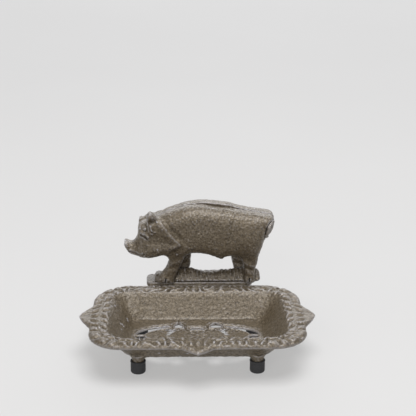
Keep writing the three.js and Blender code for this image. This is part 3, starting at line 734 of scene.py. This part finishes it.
# Grooves and ridges on the flank: their points, width and depth, which is negative for a ridge.
STROKES = [
    ([(23.4, 46), (22.2, 40), (21.4, 34.8), (20.2, 31)], 0.7, 0.4),  # before the haunch
    ([(41.5, 44), (44.5, 38), (44.2, 32), (41.8, 28)], 0.8, 0.35),  # behind it
    ([(-36.6, 33.8), (-35.0, 33.6), (-33.2, 32.8), (-31.4, 31.0)], 0.55, 1.3),  # the eye's slit
    ([(-36.8, 35.6), (-34.8, 35.5), (-32.6, 34.5), (-30.6, 32.8)], 0.8, -0.7),  # its lid
    ([(-45.6, 21.6), (-42.8, 20.9), (-39.0, 20.0), (-35.4, 20.2), (-33, 21.6)], 0.6, 1.0),  # the mouth
    ([(-44.2, 23.0), (-41.0, 22.0), (-37.0, 21.6), (-34.2, 22.2)], 0.7, -0.5),  # the lip above it
    ([(-38.6, 31.0), (-38.8, 27.6), (-39.8, 24.6)], 0.8, 0.5),  # the crease of the snout
]
# Swellings of the flank: x, w, their sizes along both, and height.
SWELLINGS = [
    (35, 31, 9, 10, 0.9),  # haunch
    (-9, 22, 6, 7, 0.6),  # shoulder
    (-33.6, 38.9, 1.0, 1.0, 0.9),  # the knob on the brow
    (-27.0, 24.5, 4.5, 4.5, 0.9),  # cheek
]
KNOB_RING = (-33.6, 38.9, 1.9)  # the groove round the knob: x, w and radius
# Hollows of the near ear, as such rows.
EAR_HOLLOWS = [
    (-28.5, 43.6, 2.5, 1.7, -2.0),
    (-30.6, 39.2, 0.8, 2.2, -1.2),
    (-25.6, 39.0, 1.1, 1.3, -1.5),
    (-28.9, 36.6, 1.4, 0.8, -1.2),
]
EAR_CURL = [(-29.4, 42.0), (-29.4, 40.0), (-28.6, 38.0), (-26.8, 37.0), (-24.9, 36.6)]
# How round the body is from flank to back, by x.
SOFTNESS = [(-47, 2.2), (-43, 3.4), (-38, 5.0), (-30, 6.5), (-18, 9.0), (36, 9.5), (48, 4.5)]


def groove(x, w, points, width, depth):
    """A groove along a curve through the points, which fades at both of its ends."""
    d, along = path_distance(x, w, smooth_loop(points, 4, closed=False))
    fade = ease(along, 0, 0.12) * ease(along, 1, 0.88)
    return -depth * bell(d, 0, width) * fade


def swelling(x, w, at_x, at_w, size_x, size_w, height):
    return height * np.exp(-(((x - at_x) / size_x) ** 2 + ((w - at_w) / size_w) ** 2))


def flank_relief(x, w):
    """How far the side of the body stands out of its plain half width."""
    # the jowl: all of the head stands out behind its line, with a cord along it
    head = loop_distance(x, w, np.vstack([smooth_loop(JOWL, 4, closed=False), [(-70, 10), (-70, 60)]]))
    fold = 1.35 * ease(head, 0.7, -0.9) * np.exp(-((np.minimum(head, 0) / 7.5) ** 2))
    cord = 0.9 * bell(head, -2.2, 2.4) * ease(w, 22, 27)
    relief = fold * 0.75 + cord - 0.6 * bell(head, 1.8, 1.7) * ease(w, 17, 20)
    relief = relief + 0.55 * bell(w, 33, 10) * ease(x, -14, 2)
    relief = relief + sum(swelling(x, w, *row) for row in SWELLINGS)
    relief = relief + sum(groove(x, w, *row) for row in STROKES)
    knob_x, knob_w, radius = KNOB_RING
    return relief - 0.7 * bell(np.hypot(x - knob_x, w - knob_w), radius, 0.5)


def ear_relief(x, w):
    """The near ear's folds: hollows inside its rim, with a fold that curls through the middle."""
    inside = loop_distance(x, w, smooth_loop(NEAR_EAR))
    hollow = sum(swelling(x, w, *row) for row in EAR_HOLLOWS)
    return hollow * ease(inside, -0.5, -1.3) + groove(x, w, EAR_CURL, 0.75, -1.0)


def tube(x, v, w, path, radius):
    """Distance to a round bar along a path of (x, w, v) points."""
    best = None
    for a, b in zip(path[:-1], path[1:]):
        e = b - a
        du, dw, dv = x - a[0], w - a[1], v - a[2]
        t = np.clip((du * e[0] + dw * e[1] + dv * e[2]) / (e @ e), 0, 1)
        d = np.sqrt((du - t * e[0]) ** 2 + (dw - t * e[1]) ** 2 + (dv - t * e[2]) ** 2)
        best = d if best is None else np.minimum(best, d)
    return best - radius


def outline_middle(outline):
    """The middle in x of an outline's points below the seat."""
    feet = [row[0] for row in outline if row[1] < 0]
    return sum(feet) / len(feet)


def blade_relief(x, w):
    """Grass on the mound: upright blades of uneven width that lean a little."""
    flat = np.stack([x.ravel() + 0.12 * w.ravel(), w.ravel() * 0.22, 0 * x.ravel()], 1)
    streaks = lattice_noise(flat, 1.15, 31) + 0.5 * lattice_noise(flat, 0.7, 32)
    return streaks.reshape(x.shape)


def pig_leg(flat, x, out, w, middle, is_hind):
    """A leg with a hock, and the cleft to cut into its hoof. out goes away from the seam's plane."""
    flare = 0.7 * bell(w, 1.0, 3.2) + 0.10 * np.maximum(w - 10, 0)
    slant = w + 0.28 * (x - middle) * (1 if is_hind else -1)
    hock = 0.75 * bell(slant, 12.8, 1.5) - 0.6 * bell(slant, 9.6, 0.9) + 0.25 * bell(slant, 6.8, 1.2)
    hock = hock * (1.0 if is_hind else 0.45)
    leg = slab(flat, np.abs(out - LEG_OUT), 3.5 + flare + hock, 3.6)
    cleft = np.maximum(np.abs(x - middle - 0.15 * (w - 2)) - 0.35, w - 3.6)
    return leg, np.maximum(cleft, LEG_OUT + 2.6 - out)


def pig_ear(x2, w2, out, near):
    """An ear between its root and its folded outer face. The far one has the near one's folds."""
    root, face = (5.4, 11.9) if near else (3.6, 10.6)
    flat = over_y(loop_distance(x2, w2, smooth_loop(NEAR_EAR if near else FAR_EAR)))
    folds = ear_relief(x2, w2) if near else ear_relief(x2 + 4.4, w2 + 3.6)
    outer_face = out - face - over_y(folds - 0.42 * np.maximum(x2 + 28.6, 0))
    return smax(smax(flat, outer_face, 1.6), root - out, 1.0)


def hollowed(body, cavity, x, v, w, near):
    """The body with its hollow, which leaves a boss round the body screw, and with the screw's hole."""
    screw_low, screw_high = corners_of("body_screw")
    screw_x, screw_w = (screw_low[0] + screw_high[0]) / 2, (screw_low[2] + screw_high[2]) / 2 - SEAT_Z
    from_axis = np.hypot(x - F(screw_x), w - F(screw_w))
    cavity = np.maximum(np.maximum(cavity, -25 - x), BOSS_R - from_axis)
    body = np.maximum(body, -cavity)
    hole_end = screw_low[1] - SHIFT_Y - SEAM_Y - 0.5
    body = np.maximum(body, -np.maximum(from_axis - SCREW_HOLE, hole_end - v))
    if near:
        return body
    head_seat = screw_high[1] - SHIFT_Y - SEAM_Y - 2.7
    return smax(body, -np.maximum(from_axis - HEAD_POCKET, head_seat - v), 0.3)


def grassy_mound(x2, w2, v, w):
    """The mound between the feet, whose bank spreads towards the tab."""
    blades = blade_relief(x2, w2)
    flat = loop_distance(x2, w2, smooth_loop(MOUND_TOP, 4, closed=False))
    flat = flat - 1.1 - 0.5 * blades * ease(w2, 1.0, 4.0)
    bank = 7.6 - 0.95 * w - np.maximum(1.1 - w, 0) * 1.5
    return slab(over_y(flat), np.abs(v), bank + over_y(0.38 * blades), 2.4)


def build_pig(name, near, step):
    """One half of the pig. The near half carries the tail and the mound, which the far half clears."""
    side = -1 if near else 1
    reach_low, reach_high = (-15.2, 8.4) if near else (-0.9, 15.2)
    grid = Grid((-48.2, SEAM_Y + reach_low, SEAT_Z - 1.4), (52.4, SEAM_Y + reach_high, 83), step)
    x, v, w = grid.x, grid.y - F(SEAM_Y), grid.z - F(SEAT_Z)
    x2, w2 = x[:, 0, :] + 0 * w[:, 0, :], 0 * x[:, 0, :] + w[:, 0, :]
    out = side * v

    silhouette = loop_distance(x2, w2, smooth_loop(BODY_OUTLINE))
    if near:  # its back is lower than the far half's
        lower = 0.2 + 1.3 * bell(x2, 14, 13)
        silhouette = silhouette + lower * ease(w2, 38, 45) * ease(x2, -26, -16)
    width = profile(x2, HALF_WIDTH) + flank_relief(x2, w2)
    body = slab(over_y(silhouette), out, over_y(width), over_y(profile(x2, SOFTNESS)))

    front = NEAR_FRONT_LEG if near else FAR_FRONT_LEG
    hind = NEAR_HIND_LEG if near else FAR_HIND_LEG
    for outline in (front, hind):
        flat = over_y(loop_distance(x2, w2, smooth_loop(outline)))
        leg, cleft = pig_leg(flat, x, out, w, outline_middle(outline), outline is hind)
        body = smin(body, leg, 3.4)
        body = smax(body, -cleft, 0.5)
    body = smin(body, pig_ear(x2, w2, out, near), 1.5)
    nostril = np.sqrt((x + 47.4) ** 2 + (out - 2.1) ** 2 + ((w - 24.6) * 0.75) ** 2) - 1.15
    body = smax(body, -nostril, 0.5)
    cavity = slab(over_y(silhouette + HOLLOW_WALL + 0.4), out, over_y(width - HOLLOW_WALL), 5.0)
    body = hollowed(body, cavity, x, v, w, near)
    body = np.maximum(body, SEAM_HALF - out)

    mound = grassy_mound(x2, w2, v, w)
    if near:
        tail = tube(x, v, w, smooth_loop(TAIL, 3, closed=False), 1.15)
        body = smax(body, 0.55 - tail, 0.5)
        body = smin(body, np.maximum(tail, v + SEAM_HALF), 0.3)
        body = smin(body, mound, 1.0)
        for node in MOUND_SCREWS:
            hole_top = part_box(node)[1][2] / MM - SEAT_Z + 0.4
            bore = np.maximum(np.hypot(x - F(middle_x(node)), v) - SCREW_HOLE, w - hole_top)
            body = np.maximum(body, -bore)
    else:
        body = np.maximum(body, -(mound - 0.3))
    body = np.maximum(body, -w)
    return grid.mesh(name, body.astype(F), iron, PIG_GRAIN)


# ---------- foot caps and fasteners ----------
HEAD_HEIGHT = 2.6
DOME_DEPTH = 1.6  # from the head's seat down to the middle of its dome
RECESS_DEPTH = 1.5
RECESS_ARM, RECESS_HALF = 1.9, 0.5  # length and half width of the recess's arms
SHANK_R, THREAD_PITCH, THREAD_HEIGHT = 1.66, 0.8, 0.32
WASHER_R, WASHER_HALF = 2.95, 0.55  # middle radius and half width of the ring
CAP_GRAIN, SCREW_GRAIN, WASHER_GRAIN = [(0.7, 0.02, 51)], [(0.6, 0.012, 61)], [(0.6, 0.01, 62)]


def build_cap(node, step):
    """A round cap with a bead at its mouth, a socket for the leg and a shallow dish below."""
    low, high = drawn_box(node)
    middle, radius, height = (low + high) / 2, (high[0] - low[0]) / 2, high[2] - low[2]
    grid = Grid(low - 1, high + 1, step)
    r = np.hypot(grid.x - F(middle[0]), grid.y - F(middle[1]))
    z = grid.z - F(low[2])
    side = radius - 0.22 + 0.2 * bell(z, height - 0.8, 0.6) - 0.12 * bell(z, height - 1.9, 0.35)
    shell = smax(r - side, np.abs(z - height / 2) - height / 2, 1.1)
    socket = np.maximum(r - LEG_R - 0.12, 2.0 - z)
    dish = smax(r - radius * 0.55, z - 0.35, 0.4)
    body = smax(smax(shell, -socket, 0.5), -dish, 0.3)
    return grid.mesh(node.replace("foot_cap", "rubber_cap"), body, cap_rubber, CAP_GRAIN)


def build_screw(node, name, axis, step):
    """A pan-head screw with a cross recess and a thread. Its head is low along z or high along y."""
    low, high = drawn_box(node)
    middle, grid = (low + high) / 2, Grid(low - 0.8, high + 0.8, step)
    x = grid.x - F(middle[0])
    if axis == "z":
        across, along = grid.y - F(middle[1]), grid.z - F(low[2] + HEAD_HEIGHT)
    else:
        across, along = grid.z - F(middle[2]), F(high[1] - HEAD_HEIGHT) - grid.y
    length = (high[2] - low[2] if axis == "z" else high[1] - low[1]) - HEAD_HEIGHT
    r, turn = np.hypot(x, across), np.arctan2(across, x) / (2 * np.pi)
    head_radius = (high[0] - low[0]) / 2
    dome = np.sqrt(r**2 + (along - DOME_DEPTH) ** 2) - (HEAD_HEIGHT + DOME_DEPTH)
    head = smax(smax(r - head_radius, dome, 0.5), along, 0.3)
    one_arm = np.maximum(np.abs(x) - RECESS_HALF, np.abs(across) - RECESS_ARM)
    other_arm = np.maximum(np.abs(across) - RECESS_HALF, np.abs(x) - RECESS_ARM)
    floor = along + HEAD_HEIGHT - RECESS_DEPTH
    head = smax(head, -np.maximum(np.minimum(one_arm, other_arm), floor), 0.2)
    pitch_share = np.abs(((along / THREAD_PITCH - turn) % 1) - 0.5) * 2
    on_shank = ease(along, 0.6, 1.4) * ease(along, length - 0.2, length - 1.4)
    taper = 0.6 * ease(along, length - 1.2, length)
    shank = smax(r - SHANK_R - THREAD_HEIGHT * pitch_share * on_shank + taper, along - length, 0.3)
    shank = np.maximum(shank, -along - 0.5)
    return grid.mesh(name, np.minimum(head, shank).astype(F), steel, SCREW_GRAIN)


def build_washer(node, name, step):
    """A spring washer, split at one side by a slanting cut."""
    low, high = drawn_box(node)
    middle, grid = (low + high) / 2, Grid(low - 0.8, high + 0.8, step)
    x, y, z = grid.x - F(middle[0]), grid.y - F(middle[1]), grid.z - F(middle[2])
    r, half = np.hypot(x, y), (high[2] - low[2]) / 2
    whole = smax(np.abs(r - WASHER_R) - WASHER_HALF, np.abs(z) - half, 0.3)
    split = np.maximum(np.abs(y - 0.45 * z) - 0.3, -x)
    return grid.mesh(name, np.maximum(whole, -split).astype(F), steel, WASHER_GRAIN)


# ---------- the pieces ----------
def add(piece, node):
    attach(piece, "root")
    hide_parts(node)


tray_step, pig_step, cap_step, steel_step = ((0.5, 0.42, 0.22, 0.16))
add(build_tray(tray_step), "tray")
add(build_pig("pig_casting_near", True, pig_step), "pig_near_half")
add(build_pig("pig_casting_far", False, pig_step), "pig_far_half")
for place in ("front_left", "front_right", "rear_left", "rear_right"):
    add(build_cap("foot_cap_" + place, cap_step), "foot_cap_" + place)
for end in ("left", "right"):
    screw, washer = "mound_screw_" + end, "spring_washer_" + end
    add(build_screw(screw, "pan_screw_" + end, "z", steel_step), screw)
    add(build_washer(washer, "split_ring_" + end, steel_step), washer)
add(build_screw("body_screw", "pan_screw_body", "y", steel_step), "body_screw")

for node_name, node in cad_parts.items():
    if node_name.startswith("foot_cap"):
        finish = cap_rubber
    elif node_name in ("tray", "pig_near_half", "pig_far_half"):
        finish = iron
    else:
        finish = steel
    node.data.materials.clear()
    node.data.materials.append(finish)


# ---------- floor, light and camera, in metres ----------
SWEEP_FRONT, SWEEP_ROW, SWEEP_ROWS = -1.6, 0.105, 30  # the level stretch, from its front edge
SWEEP_BEND, SWEEP_TOP = 0.8, 2.0  # radius of the bend behind it, and height of the wall
SWEEP_HALF, SWEEP_COLUMNS = 2.4, 24
BELOW_FEET = 0.0001


def build_floor():
    """White paper that lies under the dish and bends up behind it."""
    profile_points = [(SWEEP_FRONT + SWEEP_ROW * row, 0.0) for row in range(SWEEP_ROWS)]
    bend_y = profile_points[-1][0]
    for step in range(1, 13):
        angle = step / 12 * math.pi / 2
        rise = SWEEP_BEND - SWEEP_BEND * math.cos(angle)
        profile_points.append((bend_y + SWEEP_BEND * math.sin(angle), rise))
    profile_points.append((bend_y + SWEEP_BEND, SWEEP_TOP))
    across = [-SWEEP_HALF + 2 * SWEEP_HALF * i / SWEEP_COLUMNS for i in range(SWEEP_COLUMNS + 1)]
    vertices = [(x, y, z - BELOW_FEET) for y, z in profile_points for x in across]
    n = len(across)
    faces = [
        (r * n + c, r * n + c + 1, (r + 1) * n + c + 1, (r + 1) * n + c)
        for r in range(len(profile_points) - 1)
        for c in range(n - 1)
    ]
    mesh = bpy.data.meshes.new("sweep")
    mesh.from_pydata(vertices, [], faces)
    mesh.shade_smooth()
    mesh.materials.append(sweep_paper())
    floor = bpy.data.objects.new("sweep", mesh)
    bpy.context.scene.collection.objects.link(floor)


def sweep_paper():
    """Paper that also glows a little, so that it stays nearly white."""
    material, tree, shader = nodes_of("sweep_paper")
    place = tree.nodes.new("ShaderNodeTexCoord").outputs["Object"]
    stops = [(0.3, (0.285, 0.280, 0.275)), (0.7, (0.295, 0.290, 0.285))]
    tree.links.new(ramp(tree, noise(tree, place, 3, 2), stops), shader.inputs["Base Color"])
    shader.inputs["Roughness"].default_value = 0.9
    shader.inputs["Specular IOR Level"].default_value = 0.2
    shader.inputs["Emission Color"].default_value = (1, 1, 1, 1)
    shader.inputs["Emission Strength"].default_value = 0.375
    return material


def aim(thing, place, target):
    """Put a light or the camera at a place, looking at a target."""
    thing.location = place
    direction = Vector(target) - Vector(place)
    thing.rotation_euler = direction.to_track_quat("-Z", "Y").to_euler()


def area_light(name, place, target, size, power, colour):
    data = bpy.data.lights.new(name, "AREA")
    data.shape = "RECTANGLE"
    data.size, data.size_y = size
    data.energy = power
    data.color = colour
    light = bpy.data.objects.new(name, data)
    bpy.context.scene.collection.objects.link(light)
    aim(light, place, target)


def light_world(strength):
    """Even white light from all round."""
    world = bpy.data.worlds.new("studio")
    world.use_nodes = True
    background = world.node_tree.nodes["Background"]
    background.inputs[0].default_value = (1, 1, 1, 1)
    background.inputs[1].default_value = strength
    bpy.context.scene.world = world


CAMERA_TARGET = np.array([6.4, SHIFT_Y, 97.0]) * MM
AZIMUTH, ELEVATION, ROLL = math.radians(-1.1), math.radians(20.3), math.radians(0.15)
CAMERA_DISTANCE = 0.700
SENSOR_WIDTH, LENS = 36, 101.0769  # in millimetres


def place_camera():
    level = math.cos(ELEVATION)
    back = np.array([math.sin(AZIMUTH) * level, -math.cos(AZIMUTH) * level, math.sin(ELEVATION)])
    data = bpy.data.cameras.new("camera")
    data.sensor_width = SENSOR_WIDTH
    data.lens = LENS
    data.clip_end = 20
    camera = bpy.data.objects.new("camera", data)
    bpy.context.scene.collection.objects.link(camera)
    aim(camera, CAMERA_TARGET + CAMERA_DISTANCE * back, CAMERA_TARGET)
    bpy.context.view_layer.update()
    camera.rotation_euler.rotate_axis("Z", ROLL)
    bpy.context.scene.camera = camera


build_floor()
area_light("overhead", (0.1, -0.22, 1.3), (0, 0, 0), (0.8, 0.8), 17, (0.97, 0.98, 1.0))
area_light("backlight", (0.2, 1.7, 0.75), (0, 0, 0.05), (2.2, 0.6), 12, (0.94, 0.96, 1.0))
area_light("front_fill", (-0.5, -1.6, 0.9), (0, 0, 0.05), (1.2, 0.8), 10, (1.0, 0.98, 0.95))
light_world(0.33)
place_camera()
bpy.context.scene.view_settings.view_transform = "Standard"
